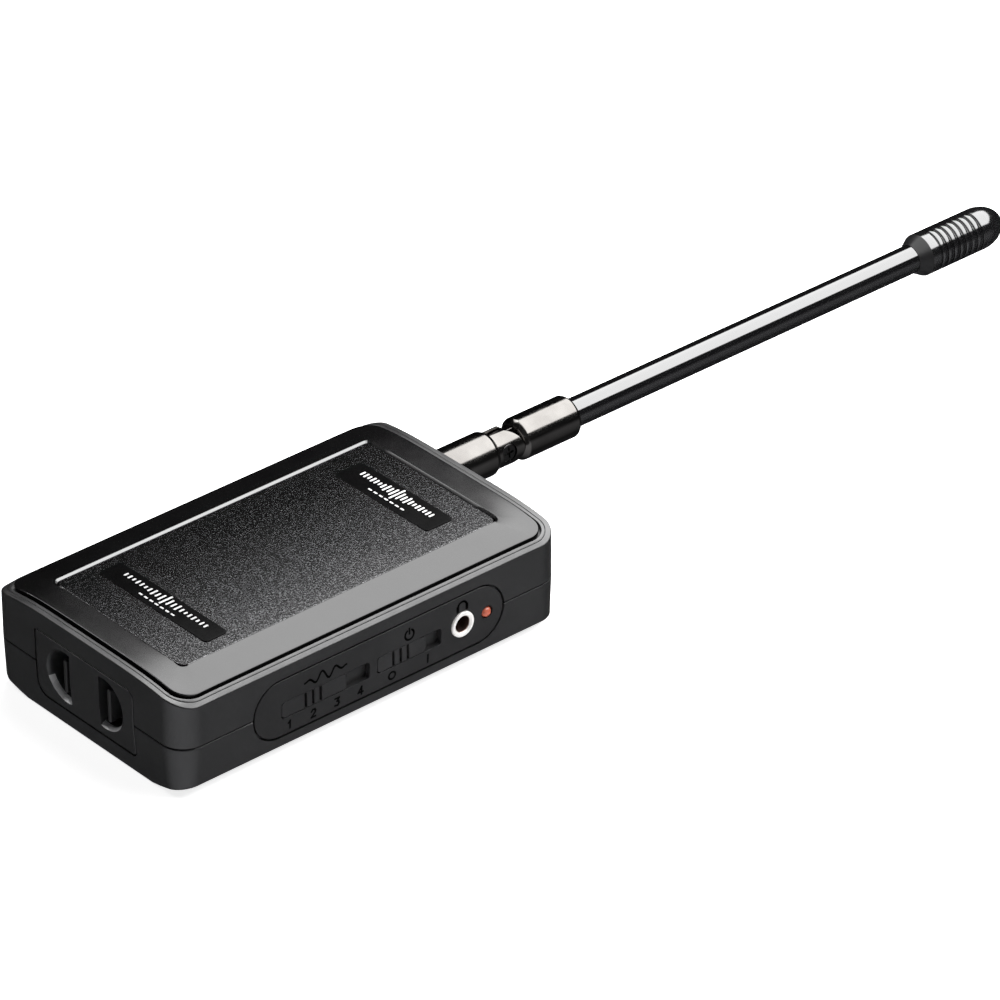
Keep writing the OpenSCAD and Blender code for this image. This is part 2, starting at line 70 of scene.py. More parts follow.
def highest(node):
    """Corner of a CAD node with its largest x, y and z."""
    return box(node)[1]


up_hi = highest("upper_shell")
low_hi = highest("lower_shell")
panel_hi = highest("face_panel")
can_hi = highest("shield_can")
frame_lo, frame_hi = box("face_frame")
strip_lo, strip_hi = box("control_plate")
fin_lo, fin_hi = box("socket_fins")

HALF_W, HALF_L = up_hi.x, up_hi.y      # half width and half length of the housing
CORNER = 5.6                           # corner radius seen from above
GAP = 0.15                             # half of the joint gap
JOINT = low_hi.z + GAP                 # height of the joint line
RIM = up_hi.z                          # level part of the shell rim
TOP = frame_hi.z                       # level part of the face frame
SEAT = frame_lo.z                      # seat of the frame and the panel
LEVEL_X = 20.95                        # the face is level up to here and slopes beyond
SLOPE = 1.6 / (frame_hi.x - LEVEL_X)   # fall of the face beside the level part
SIDE_TOP = 21.1                        # top of the upright long walls
SIDE_FOOT = 2.1                        # foot of the upright long walls
DRAFT = 0.55                           # lean of the lower walls
GROOVE = 0.55                          # gap round the face frame
WALL = 2.2                             # shell wall thickness
ANT_X, ANT_Z = middle("antenna_rod").x, middle("antenna_rod").z
PIVOT = Vector((ANT_X, middle("hinge_screw").y, ANT_Z))
LEAN = radians(8)                      # lean of the fold pivot
RIM_RATIO = (RIM - SIDE_TOP) / 3.2     # fall of the rim over the fall of the face beside it
SEAT_CORNER = 4.6                      # corner radius of the frame's seat in the shell
FRAME_CORNER = 4.2                     # corner radius of the frame itself
MOUTH_CORNER = 1.6                     # corner radius of the frame's opening
PLATE_W, PLATE_H = 31.4, 15.24         # socket plate, across and up
PLATE_FOOT = 4.1                       # height of the socket plate's lower edge
SOCKET_Z = 12.1                        # height of the plug sockets' axis
STEM_L, STEM_H = 3.4, 1.7              # length and height of a slider's stem
SLIDE_FIT = 0.1                        # sliding gap at each end of a slider
FINGER_PITCH = 1.92                    # spacing of the finger slots in a slider
BUSH_R = 2.9                           # outer radius of the audio bush
BUSH_BORE = 1.8                        # bore radius of the audio bush
LENS_R = 1.4                           # radius of the lamp lens in its hole
DOOR_PIN = 1.2                         # length of each hinge pin of the battery door
BUSHING_R = 4.66                       # hole for the antenna bushing
KNUCKLE_R = 4.28                       # radius of the forked knuckle
COLLAR_R = 4.8                         # radius of the collar
ROD_R = 3.26                           # radius of the antenna rod

# ---------------------------------------------------------------- shapes

ARC = 14       # steps in a corner
SIDE = 20      # steps along a straight side
CREASE = 32    # degrees at which an edge is shaded sharp
MERGE = 0.002  # points closer than this, in millimetres, become one


def rounded(w, l, r, n=ARC, m=SIDE):
    """Outline of a rounded rectangle: (x, y) points, as many at any size, anticlockwise.

    r is one radius, or four from the corner at +x -y onwards."""
    rs = [r] * 4 if isinstance(r, (int, float)) else r
    signs = ((1, -1), (1, 1), (-1, 1), (-1, -1))
    ends = []
    for k, (sx, sy) in enumerate(signs):
        cx, cy = sx * (w / 2 - rs[k]), sy * (l / 2 - rs[k])
        ends.append([(cx + rs[k] * cos(pi / 2 * (k - 1 + i / n)),
                      cy + rs[k] * sin(pi / 2 * (k - 1 + i / n))) for i in range(n + 1)])
    points = []
    for k in range(4):
        points += ends[k]
        a, b = ends[k][-1], ends[(k + 1) % 4][0]
        points += [(a[0] + (b[0] - a[0]) * j / m, a[1] + (b[1] - a[1]) * j / m)
                   for j in range(1, m)]
    return points


def piece(name, verts, faces, mat, body="housing", replaces=None, slot=None):
    """Makes a mesh object from millimetre points, rides it on its body and dresses it."""
    mesh = bpy.data.meshes.new(name)
    mesh.from_pydata([Vector(v) * MM for v in verts], [], faces)
    tidy(mesh)
    obj = bpy.data.objects.new(name, mesh)
    bpy.context.scene.collection.objects.link(obj)
    mesh.materials.append(mat)
    obj.modifiers.new("face_weighted", "WEIGHTED_NORMAL").keep_sharp = True
    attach(obj, body)
    if replaces:
        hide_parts(replaces)
    return obj


def tidy(mesh):
    """Merges doubled points, points the faces outwards and sets smooth shading."""
    bm = bmesh.new()
    bm.from_mesh(mesh)
    bmesh.ops.remove_doubles(bm, verts=bm.verts, dist=MERGE * MM)
    bmesh.ops.recalc_face_normals(bm, faces=bm.faces)
    bm.to_mesh(mesh)
    bm.free()
    mesh.shade_smooth()
    mesh.set_sharp_from_angle(angle=radians(CREASE))


def skin(loops, closed=False):
    """Verts and faces of a surface through loops of equal length.

    The two ends are capped, or with closed the last loop joins the first."""
    n = len(loops[0])
    verts = [p for loop in loops for p in loop]
    faces = []
    last = len(loops) if closed else len(loops) - 1
    for k in range(last):
        a, b = k * n, ((k + 1) % len(loops)) * n
        faces += [(a + i, a + (i + 1) % n, b + (i + 1) % n, b + i) for i in range(n)]
    if not closed:
        faces += [tuple(range(n)), tuple(range((len(loops) - 1) * n, len(loops) * n))]
    return verts, faces


def upwards(a, b, c):
    return (a, b, c)


def sideways(a, b, c):
    """Outline in Y and Z, depth along +X."""
    return (c, a, b)


def endways(a, b, c):
    """Outline in X and Z, depth along -Y."""
    return (a, -c, b)


def prism(outline, c0, c1, place=upwards, edge0=0.0, edge1=0.15, steps=3):
    """Verts and faces of an outline run from depth c0 to c1 with rounded ends.

    outline(d) gives the points with the outline drawn in by d."""
    ends = []
    for c, edge, way in ((c0, edge0, 1), (c1, edge1, -1)):
        if edge:
            turns = [pi / 2 * i / steps for i in range(steps + 1)]
            ends.append([(outline(edge * (1 - sin(a))), c + way * edge * (1 - cos(a)))
                         for a in turns])
        else:
            ends.append([(outline(0), c)])
    stack = ends[0] + ends[1][::-1]
    return skin([[place(a, b, c) for a, b in points] for points, c in stack])


def slab(w, l, r, ca=0, cb=0, **kwargs):
    """Outline function of a rounded rectangle centred on (ca, cb)."""
    def outline(d):
        rs = max(r - d, 0.02) if isinstance(r, (int, float)) else [max(x - d, 0.02) for x in r]
        return [(a + ca, b + cb) for a, b in rounded(w - 2 * d, l - 2 * d, rs, **kwargs)]
    return outline


def disc(r, ca=0, cb=0, n=64):
    """Outline function of a circle centred on (ca, cb)."""
    def outline(d):
        return [(ca + (r - d) * cos(2 * pi * i / n), cb + (r - d) * sin(2 * pi * i / n))
                for i in range(n)]
    return outline


def soft_profile(points, radius, closed=False, steps=4):
    """Rounds the corners of a polyline by up to radius."""
    out = []
    n = len(points)
    for i, p in enumerate(points):
        if not closed and i in (0, n - 1):
            out.append(p)
            continue
        p, a, b = Vector(p), Vector(points[i - 1]), Vector(points[(i + 1) % n])
        cut = min(radius, (a - p).length * 0.45, (b - p).length * 0.45)
        s, e = p + (a - p).normalized() * cut, p + (b - p).normalized() * cut
        out += [tuple((1 - t) ** 2 * s + 2 * t * (1 - t) * p + t * t * e)
                for t in (j / steps for j in range(steps + 1))]
    return out


def turned(profile, closed=False, n=96, axis=None):
    """Verts and faces of a profile of (along, radius) turned about the antenna axis or another."""
    if axis is None:
        def axis(s, a, b):
            return (ANT_X + a, s, ANT_Z + b)
    loops = [[axis(s, r * cos(2 * pi * i / n), r * sin(2 * pi * i / n)) for i in range(n)]
             for s, r in ((s, max(r, 0.001)) for s, r in profile)]
    return skin(loops, closed)


def tool(verts, faces):
    """A loose mesh object for cutting with."""
    mesh = bpy.data.meshes.new("tool")
    mesh.from_pydata([Vector(v) * MM for v in verts], [], faces)
    tidy(mesh)
    obj = bpy.data.objects.new("tool", mesh)
    bpy.context.scene.collection.objects.link(obj)
    return obj


def carve(obj, tools, how="DIFFERENCE"):
    """Cuts each tool out of obj, or joins it on, and removes the tools."""
    for t in tools:
        mod = obj.modifiers.new("cut", "BOOLEAN")
        mod.operation, mod.solver, mod.object = how, "EXACT", t
        for other in obj.modifiers:
            other.show_viewport = other == mod
        bpy.context.view_layer.update()
        evaluated = obj.evaluated_get(bpy.context.evaluated_depsgraph_get())
        new = bpy.data.meshes.new_from_object(evaluated)
        old, name = obj.data, obj.data.name
        obj.modifiers.remove(mod)
        obj.data = new
        bpy.data.meshes.remove(old)
        new.name = name
        bpy.data.objects.remove(t)
    tidy(obj.data)
    for other in obj.modifiers:
        other.show_viewport = True
    return obj


def block(x, y, z):
    """Verts and faces of a plain block, for cutting with."""
    return prism(slab(x[1] - x[0], y[1] - y[0], 0.02, (x[0] + x[1]) / 2, (y[0] + y[1]) / 2,
                      n=1, m=1), z[0], z[1], edge1=0)


def bevelled(obj, width, angle):
    """Adds a small rounded edge to every sharp corner of obj."""
    mod = obj.modifiers.new("edges", "BEVEL")
    mod.width, mod.segments, mod.limit_method = width * MM, 2, "ANGLE"
    mod.angle_limit, mod.harden_normals = radians(angle), False
    while obj.modifiers[0] != mod:
        bpy.context.view_layer.objects.active = obj
        obj.modifiers.move(obj.modifiers.find("edges"), 0)
    return obj


def smoothstep(a, b, t):
    """0 up to a, 1 from b on, with a smooth rise between."""
    t = min(max((t - a) / (b - a), 0), 1)
    return t * t * (3 - 2 * t)


# ---------------------------------------------------------------- materials


class Nodes:
    """Short way to write a node tree."""

    def __init__(self, name):
        self.material = bpy.data.materials.new(name)
        self.material.use_nodes = True
        self.tree = self.material.node_tree
        self.shader = self.tree.nodes["Principled BSDF"]
        self.coords = self.add("ShaderNodeTexCoord").outputs["Object"]

    def add(self, kind, **values):
        node = self.tree.nodes.new(kind)
        for key, value in values.items():
            setattr(node, key, value)
        return node

    def link(self, a, b):
        self.tree.links.new(a, b)

    def noise(self, size, detail=2.0, rough=0.5, stretch=(1, 1, 1)):
        """Noise with features about size millimetres across."""
        mapping = self.add("ShaderNodeMapping")
        mapping.inputs["Scale"].default_value = [s / (size * MM) for s in stretch]
        self.link(self.coords, mapping.inputs["Vector"])
        node = self.add("ShaderNodeTexNoise")
        node.inputs["Scale"].default_value = 1.0
        node.inputs["Detail"].default_value = detail
        node.inputs["Roughness"].default_value = rough
        self.link(mapping.outputs["Vector"], node.inputs["Vector"])
        return node.outputs["Fac"]

    def ranged(self, value, low, high, start=0.3, end=0.7):
        node = self.add("ShaderNodeMapRange")
        for socket, number in zip(("From Min", "From Max", "To Min", "To Max"),
                                  (start, end, low, high)):
            node.inputs[socket].default_value = number
        self.link(value, node.inputs["Value"])
        return node.outputs["Result"]

    def blend(self, factor, a, b):
        node = self.add("ShaderNodeMix", data_type="RGBA")
        self.link(factor, node.inputs["Factor"])
        node.inputs["A"].default_value = (*a, 1)
        node.inputs["B"].default_value = (*b, 1)
        return node.outputs["Result"]

    def bump(self, height, depth, strength=1.0, onto=None):
        node = self.add("ShaderNodeBump")
        node.inputs["Strength"].default_value = strength
        node.inputs["Distance"].default_value = depth * MM
        self.link(height, node.inputs["Height"])
        if onto is not None:
            self.link(onto, node.inputs["Normal"])
        return node.outputs["Normal"]

    def set(self, **values):
        for key, value in values.items():
            self.shader.inputs[key.replace("_", " ")].default_value = value

    def feed(self, **sockets):
        for key, socket in sockets.items():
            self.link(socket, self.shader.inputs[key.replace("_", " ")])


def plastic(name, dark, light, rough, grain=0.35, depth=0.012, level=0.5, wear=0.05):
    """Moulded plastic: fine grain, slow changes of tone and a roughness that wanders."""
    m = Nodes(name)
    fine = m.noise(grain, 3)
    slow = m.noise(14, 2)
    m.feed(Base_Color=m.blend(m.ranged(slow, 0, 1), dark, light),
           Roughness=m.ranged(m.noise(5, 4, 0.6), rough - wear, rough + wear),
           Normal=m.bump(fine, depth))
    m.set(Specular_IOR_Level=level)
    return m.material


def metal(name, dark, light, rough, stretch=(1, 1, 1), size=1.2, depth=0.004):
    """Plated or turned metal with faint tool marks and cloudy gloss."""
    m = Nodes(name)
    marks = m.noise(size, 3, 0.6, stretch)
    m.feed(Base_Color=m.blend(m.ranged(m.noise(6, 3), 0, 1), dark, light),
           Roughness=m.ranged(marks, rough * 0.7, rough * 1.3),
           Normal=m.bump(marks, depth))
    m.set(Metallic=1.0)
    return m.material


def grained_panel():
    """Fine hammered grain of the face panel, with light and dark specks."""
    m = Nodes("panel_grain")
    cells = m.add("ShaderNodeTexVoronoi", feature="F1")
    cells.inputs["Scale"].default_value = 1 / (0.42 * MM)
    m.link(m.coords, cells.inputs["Vector"])
    fleck = m.noise(0.26, 2, 0.6)
    m.feed(Base_Color=m.blend(m.ranged(fleck, 0, 1, 0.47, 0.60), (0.0010, 0.0010, 0.0011),
                              (0.200, 0.200, 0.205)),
           Metallic=m.ranged(fleck, 0, 1, 0.44, 0.50), Roughness=m.ranged(fleck, 0.12, 0.19),
           Normal=m.bump(fleck, 0.024, 1.0, m.bump(cells.outputs["Distance"], 0.008, 0.6)))
    m.set(Specular_IOR_Level=0.65)
    return m.material


def shader_value(material, socket, value):
    """Sets one constant on a finished material's shader."""
    material.node_tree.nodes["Principled BSDF"].inputs[socket].default_value = value


shell_mat = plastic("shell_plastic", (0.0125, 0.0125, 0.0131), (0.0175, 0.0175, 0.0184), 0.36,
                    level=1.0)
shader_value(shell_mat, "IOR", 1.58)
plate_mat = plastic("plate_plastic", (0.0155, 0.0155, 0.0163), (0.0215, 0.0215, 0.0226), 0.5)
slider_mat = plastic("slider_plastic", (0.019, 0.019, 0.0198), (0.026, 0.026, 0.0272), 0.42)
frame_mat = plastic("frame_gloss", (0.0020, 0.0020, 0.0021), (0.0034, 0.0034, 0.0036), 0.22,
                    0.6, 0.0015, 0.74, 0.02)
# lighter, glossier copy of the frame plastic, used on one chamfer only: a painted highlight
chamfer_highlight_mat = plastic("chamfer_painted_highlight", (0.004, 0.004, 0.0042), (0.006, 0.006, 0.0063), 0.2,
                       0.6, 0.001, 1.0, 0.02)
shader_value(chamfer_highlight_mat, "IOR", 1.8)
label_mat = plastic("label_satin", (0.0015, 0.0015, 0.0016), (0.0026, 0.0026, 0.0027), 0.2,
                    0.5, 0.001, 0.1, 0.02)
print_mat = plastic("white_print", (0.72, 0.72, 0.72), (0.82, 0.82, 0.82), 0.5, 0.3, 0.003)
ink_mat = plastic("black_print", (0.0006, 0.0006, 0.0006), (0.0012, 0.0012, 0.0012), 0.6,
                  0.3, 0.002, 0.05)
panel_mat = grained_panel()
# pale grey copy of the plastic for the sockets' lower lead-ins: a painted highlight for the light
# they catch
lead_in_highlight_mat = plastic("lead_in_painted_highlight", (0.42, 0.42, 0.43), (0.55, 0.55, 0.56), 0.3, 0.3, 0.004, 1.0)
fin_mat = plastic("fin_plastic", (0.016, 0.016, 0.0167), (0.024, 0.024, 0.025), 0.4)
rod_mat = plastic("rod_gloss", (0.002, 0.002, 0.0022), (0.004, 0.004, 0.0042), 0.09,
                  1.5, 0.0006, 1.0, 0.02)
tip_mat = plastic("tip_gloss", (0.003, 0.003, 0.0032), (0.006, 0.006, 0.0063), 0.14,
                  0.8, 0.001, 1.0, 0.02)
ramp_mat = plastic("tip_matte", (0.006, 0.006, 0.0063), (0.010, 0.010, 0.0104), 0.34,
                   0.3, 0.004, 0.3)
for black in (rod_mat, tip_mat):
    shader_value(black, "IOR", 1.8)
nickel_mat = metal("dark_nickel", (0.15, 0.143, 0.137), (0.19, 0.183, 0.175), 0.16,
                   (1, 0.12, 1), 0.5, 0.0015)
# near-white, mostly diffuse colour for the nickel ring: a painted reflection of the pale floor
jack_reflection_mat = plastic("nickel_painted_reflection", (0.88, 0.86, 0.84), (0.95, 0.93, 0.91), 0.3, 0.6, 0.004, 0.8)
shader_value(jack_reflection_mat, "Metallic", 0.15)
bore_mat = metal("bronze_bore", (0.42, 0.29, 0.25), (0.58, 0.42, 0.37), 0.42, (1, 1, 1), 0.6)
steel_mat = metal("screw_steel", (0.42, 0.42, 0.43), (0.55, 0.55, 0.56), 0.3)
tin_mat = metal("tin_plate", (0.55, 0.55, 0.57), (0.68, 0.68, 0.7), 0.35)
brass_mat = metal("machined_brass", (0.55, 0.40, 0.16), (0.68, 0.52, 0.24), 0.25)
copper_mat = metal("bare_copper", (0.60, 0.30, 0.17), (0.74, 0.40, 0.25), 0.3)
screw_mat = metal("blackened_screw", (0.05, 0.05, 0.05), (0.08, 0.078, 0.076), 0.3)
board_mat = plastic("board_laminate", (0.01, 0.09, 0.035), (0.016, 0.13, 0.05), 0.35, 0.8, 0.006)
component_mat = plastic("moulded_component", (0.012, 0.012, 0.013), (0.02, 0.02, 0.021), 0.4)
ceramic_mat = plastic("fired_ceramic", (0.32, 0.21, 0.11), (0.42, 0.29, 0.17), 0.5)
battery_mat = plastic("battery_wrap", (0.36, 0.22, 0.03), (0.48, 0.31, 0.05), 0.28, 0.6, 0.003, 0.6)


def lamp_material():
    m = Nodes("lamp_lens_orange")
    cloud = m.noise(0.9, 2)
    m.feed(Base_Color=m.blend(m.ranged(cloud, 0, 1), (0.38, 0.080, 0.045), (0.52, 0.135, 0.085)),
           Roughness=m.ranged(cloud, 0.12, 0.24), Normal=m.bump(cloud, 0.004))
    m.set(Coat_Weight=0.4, Emission_Color=(1.0, 0.25, 0.14, 1), Emission_Strength=0.05)
    return m.material


lamp_mat = lamp_material()

# ---------------------------------------------------------------- housing shells


def soft_ramp(t, width):
    """max(t, 0) with its corner softened over width."""
    return t if t > 12 * width else width * log(1 + exp(t / width))


def face_fall(x, y):
    """How far the face has dropped: level in the middle, sloping at the long sides.

    The bend between the two softens towards both ends of the housing."""
    width = 0.04 + 3.4 * smoothstep(HALF_L - 14, HALF_L - 5, abs(y))
    return SLOPE * soft_ramp(abs(x) - LEVEL_X, width)


def between(a, b, t):
    """a where t is 0 and b where t is 1."""
    return a + (b - a) * t


def sidewardness(k):
    """0 where outline point k faces the ends, 1 where it faces the long sides."""
    turn, i = divmod(k, ARC + SIDE)
    if i <= ARC:
        angle = pi / 2 * i / ARC
        return sin(angle) ** 2 if turn % 2 == 0 else cos(angle) ** 2
    return 1.0 if turn % 2 == 0 else 0.0


def seat_outline():
    """Outline of the frame's seat in the shell, one groove outside the frame."""
    return rounded(2 * (frame_hi.x + GROOVE), 2 * (frame_hi.y + GROOVE), SEAT_CORNER)


def rim_loop(t, drop_end, drop_side):
    """Loop on the shell rim: t is 0 at the groove and 1 at the outer face."""
    inner = seat_outline()
    outer = rounded(2 * HALF_W, 2 * HALF_L, CORNER)
    loop = []
    for k, (a, b) in enumerate(zip(inner, outer)):
        x, y = between(a[0], b[0], t), between(a[1], b[1], t)
        side = sidewardness(k)
        fall = face_fall(a[0], a[1]) * RIM_RATIO
        loop.append((x, y, RIM - fall - between(drop_end, drop_side, side)))
    return loop


def wall_loop(inset, z):
    """Level loop of the housing wall at height z, drawn in by inset."""
    r = max(CORNER - inset, 1.5)
    return [(x, y, z) for x, y in rounded(2 * (HALF_W - inset), 2 * (HALF_L - inset), r)]


def upper_shell():
    side = RIM - SIDE_TOP - 1.5       # fall of the straight shoulder on the long sides
    seat = [(x, y, SEAT) for x, y in seat_outline()]
    rim = [rim_loop(t, end, side * t + extra) for t, end, extra in (
        (0.0, 0.16, 0.12), (0.025, 0.04, 0.03), (0.07, 0.0, 0.0), (0.30, 0.0, 0.0),
        (0.335, 0.04, 0.02), (0.345, 0.3, 0.22), (0.40, 0.3, 0.22), (0.41, 0.04, 0.02),
        (0.45, 0.0, 0.0), (0.88, 0.0, 0.0), (0.93, 0.05, 0.0), (0.965, 0.15, 0.02),
        (0.99, 0.32, 0.10), (1.0, 0.5, 0.28))]
    wall = [wall_loop(0.0, JOINT + GAP + 0.12), wall_loop(0.04, JOINT + GAP + 0.03),
            wall_loop(0.14, JOINT + GAP), wall_loop(WALL, JOINT + GAP),
            wall_loop(WALL, can_hi.z + 7.3)]
    obj = piece("upper_shell_skin", *skin([seat] + rim + wall), shell_mat,
                replaces="upper_shell", slot="shell")
    return carve(obj, [tool(*t) for t in opening_tools()])


def foot_z(x):
    """Height of the underside: level in the middle, rising to the long sides."""
    return SIDE_FOOT * soft_ramp(abs(x) - LEVEL_X, 0.1) / (HALF_W - DRAFT - LEVEL_X)


def foot_loop(inset, lift):
    """Loop near the underside, drawn in by inset and raised by lift."""
    r = max(CORNER - 0.9 - inset * 0.6, 2)
    return [(x, y, foot_z(x) + lift) for x, y in
            rounded(2 * (HALF_W - inset), 2 * (HALF_L - inset), r)]


def lower_shell():
    wall = [wall_loop(0.26, JOINT - GAP), wall_loop(0.12, JOINT - GAP - 0.03),
            wall_loop(0.035, JOINT - GAP - 0.12), wall_loop(0.0, JOINT - GAP - 0.26)]
    foot = [foot_loop(DRAFT, 0.75), foot_loop(DRAFT + 0.07, 0.38), foot_loop(DRAFT + 0.24, 0.13),
            foot_loop(DRAFT + 0.55, 0.02), foot_loop(DRAFT + 0.9, 0.0)]
    flat = [(x, y, 0.0) for x, y in rounded(2 * LEVEL_X, 2 * (HALF_L - 4), 2)]
    obj = piece("lower_shell_skin", *skin(wall + foot + [flat]), shell_mat,
                replaces="lower_shell", slot="shell")
    floor = 2.6                                       # thickness of the floor
    cavity = prism(slab(2 * (HALF_W - WALL), 2 * (HALF_L - WALL), 3.4), floor, JOINT + 2, edge1=0)
    carve(obj, [tool(*cavity)])

    boss_r, pocket_r, shank_r = 2.9, 2.1, 1.1         # screw boss, head pocket and through hole
    head_r, pocket_top = 1.9, 4.6
    screw_hi = highest("housing_screws")
    corners = [(a * (screw_hi.x - head_r), b * (screw_hi.y - head_r))
               for a in (-1, 1) for b in (-1, 1)]
    bosses = [prism(disc(boss_r, *c), floor - 0.3, JOINT - GAP - 0.05, edge1=0.1) for c in corners]
    carve(obj, [tool(*t) for t in bosses], "UNION")
    cuts = [prism(disc(pocket_r, *c), -1, pocket_top, edge1=0) for c in corners]
    cuts += [prism(disc(shank_r, *c), 0, JOINT + 1, edge1=0) for c in corners]

    door_lo, door_hi = box("battery_door")
    clear, barrel, pin_hole = 0.15, 0.75, 0.55        # gap round the door, hinge and pin radius
    cuts.append(block((door_lo.x + DOOR_PIN - clear, door_hi.x - DOOR_PIN + clear),
                      (door_lo.y - clear, door_hi.y + clear), (-1, 5)))
    cuts.append(prism(disc(pin_hole, door_lo.y + barrel, barrel, 24),
                      door_lo.x - 0.1, door_hi.x + 0.1, sideways, edge1=0))
    return carve(obj, [tool(*t) for t in cuts + opening_tools()])


def stadium(grow=0.0):
    """Outline of the control strip in Y and Z."""
    l, h = strip_hi.y - strip_lo.y + 2 * grow, strip_hi.z - strip_lo.z + 2 * grow
    return slab(l, h, h / 2 - 0.01, (strip_lo.y + strip_hi.y) / 2, (strip_lo.z + strip_hi.z) / 2,
                n=24, m=2)


def plate_outline(grow=0.0):
    """Outline of the socket plate in X and Z."""
    w, h = PLATE_W + 2 * grow, PLATE_H + 2 * grow
    return slab(w, h, [1.0 + grow, 1.6 + grow, 0.5 + grow, 3.0 + grow], 0,
                PLATE_FOOT - grow + h / 2, n=10, m=2)


def side_hole(outline, depth, out=0):
    """Shape of a hole through the control side, from depth inside to out outside."""
    return prism(outline, HALF_W - depth, HALF_W + out, sideways, edge1=0)


def opening_tools():
    """Openings both shells share: control strip, stem slots, sockets, lamp and antenna bushing."""
    jack, lens = middle("jack_bush"), middle("lamp_lens")
    slots = [side_hole(slab(stem, 1.8, 0.2, y, z, n=2, m=1), 5) for y, _, _, z, stem in windows()]
    return [side_hole(stadium(0.32), 1.5, 2), *slots,
            side_hole(disc(BUSH_R + 0.15, jack.y, jack.z), 5),
            side_hole(disc(LENS_R + 0.2, lens.y, lens.z), 5),
            prism(plate_outline(0.26), HALF_L - WALL - 1, HALF_L + 2, endways, edge1=0),
            turned([(HALF_L - WALL - 2, BUSHING_R), (HALF_L + 2, BUSHING_R)])]


def face_frame():
    """Glossy frame: level end bars, long bars that slope outwards, chamfered opening."""
    sink = TOP - panel_hi.z
    mouth = (2 * LEVEL_X, 2 * (panel_hi.y + 0.1 + sink))
    edge, chamfer = 0.045, 0.45      # share of a bar in its rounded edge, and opening chamfer

    def ring(t, drop):
        outer = rounded(2 * frame_hi.x, 2 * frame_hi.y, FRAME_CORNER)
        inner = rounded(*mouth, MOUTH_CORNER)
        points = []
        for a, b in zip(outer, inner):
            x, y = between(a[0], b[0], t), between(a[1], b[1], t)
            points.append((x, y, TOP - face_fall(x, y) - drop))
        return points

    def throat(inset, z):
        return [(x, y, z) for x, y in rounded(mouth[0] - 2 * inset, mouth[1] - 2 * inset,
                                              MOUTH_CORNER - inset)]

    loops = [[(x, y, SEAT) for x, y, z in ring(0, 0)], ring(0.0, 0.2), ring(0.006, 0.075),
             ring(0.02, 0.015), ring(edge, 0.0)]
    loops += [ring(edge + 0.93 * i / 8, 0.0) for i in range(1, 9)]
    loops += [ring(0.99, 0.01), throat(0.04, TOP - 0.05), throat(chamfer, TOP - chamfer - 0.01),
              throat(chamfer, SEAT)]
    obj = piece("face_frame_gloss", *skin(loops, closed=True), frame_mat,
                replaces="face_frame", slot="frame")
    obj.data.materials.append(chamfer_highlight_mat)    # painted highlight: a lighter, glossier copy of the frame plastic for the chamfer along the side away from +X
    for face in obj.data.polygons:
        at = face.center / MM
        if -LEVEL_X < at.x < 1 - LEVEL_X and 0.5 < face.normal.z < 0.9:
            face.material_index = 1
    return obj


def face_panel():
    outline = slab(2 * panel_hi.x, 2 * panel_hi.y, 1.9)
    return piece("face_panel_grained", *prism(outline, SEAT, panel_hi.z, edge1=0.12), panel_mat,
                 replaces="face_panel", slot="panel")


def label_plates():
    for end in ("far", "near"):
        lo, hi = box("label_plate_" + end)
        c = (lo + hi) / 2
        outline = slab(hi.x - lo.x, hi.y - lo.y, 0.9, c.x, c.y, n=8, m=2)
        piece("label_" + end, *prism(outline, lo.z, hi.z, edge1=0.08), label_mat,
              replaces="label_plate_" + end, slot="label")
        level_marks("marks_" + end, c, hi)


def level_marks(name, c, hi):
    """Generic sound-level pictogram: a row of bars over a row of dashes."""
    verts, faces = [], []

    def add(x, y, w, l):
        v, f = prism(slab(w, l, min(w, l) * 0.45, x, y, n=3, m=1), hi.z - 0.02, hi.z + 0.03,
                     edge1=0)
        faces.extend([tuple(i + len(verts) for i in face) for face in f])
        verts.extend(v)

    half_l = hi.y - c.y
    span = (hi.x - c.x) * 0.74
    bars, dashes, dash_pitch = 21, 7, 1.7
    for i in range(bars):
        s = 2 * i / (bars - 1) - 1
        height = half_l * (0.22 + 0.55 * abs(cos(3.1 * s) * cos(9.7 * s)) * (1.1 - abs(s)))
        add(c.x + s * span, c.y + 0.26 * half_l, 0.5, 1.5 * height)
    for i in range(dashes):
        add(c.x + (i - dashes // 2) * dash_pitch, c.y - 0.55 * half_l, 1.1, 0.42)
    piece(name, verts, faces, print_mat)


def battery_door():
    """Door leaf on its two pins, with grip ridges and a thumb recess."""
    lo, hi = box("battery_door")
    leaf = (lo.x + DOOR_PIN, hi.x - DOOR_PIN)
    thick = hi.z - lo.z
    hinge_y = lo.y + thick / 2
    w, l = leaf[1] - leaf[0], hi.y - hinge_y
    mid_x = (leaf[0] + leaf[1]) / 2
    outline = slab(w, l, 0.12, mid_x, hinge_y + l / 2, n=2, m=1)
    obj = piece("battery_door_leaf", *prism(outline, lo.z, hi.z, edge0=0.12, edge1=0.12),
                shell_mat, body="door", replaces="battery_door", slot="shell")
    carve(obj, [tool(*prism(disc(thick / 2, hinge_y, lo.z + thick / 2, 48), leaf[0], leaf[1],
                            sideways, edge1=0)),
                tool(*prism(disc(0.5, hinge_y, lo.z + thick / 2, 24), lo.x, hi.x, sideways,
                            edge1=0.08))], "UNION")
    cuts = [prism(slab(12, 0.7, 0.34, mid_x, hi.y - 6.65 - 1.6 * i, n=4, m=1), -1, 0.35, edge1=0)
            for i in range(5)]
    cuts.append(prism(disc(3.4, mid_x, hi.y + 0.6, 48), -1, 0.7, edge1=0.3))
    return carve(obj, [tool(*t) for t in cuts])


# ---------------------------------------------------------------- plug sockets


def dee(d, m=1, taper=0.0):
    """D-shaped outline of a plug socket in X and Z, drawn in by d; m is its side.

    taper narrows the round side only."""
    r, cut, c = 6.05 - d - taper, 4.7 + d, 6.25    # radius, flat side and centre, from the middle
    reach = acos((cut - c) / r)
    return [(m * (c + r * cos(a)), SOCKET_Z + r * sin(a))
            for a in (reach * (2 * i / 40 - 1) for i in range(41))]


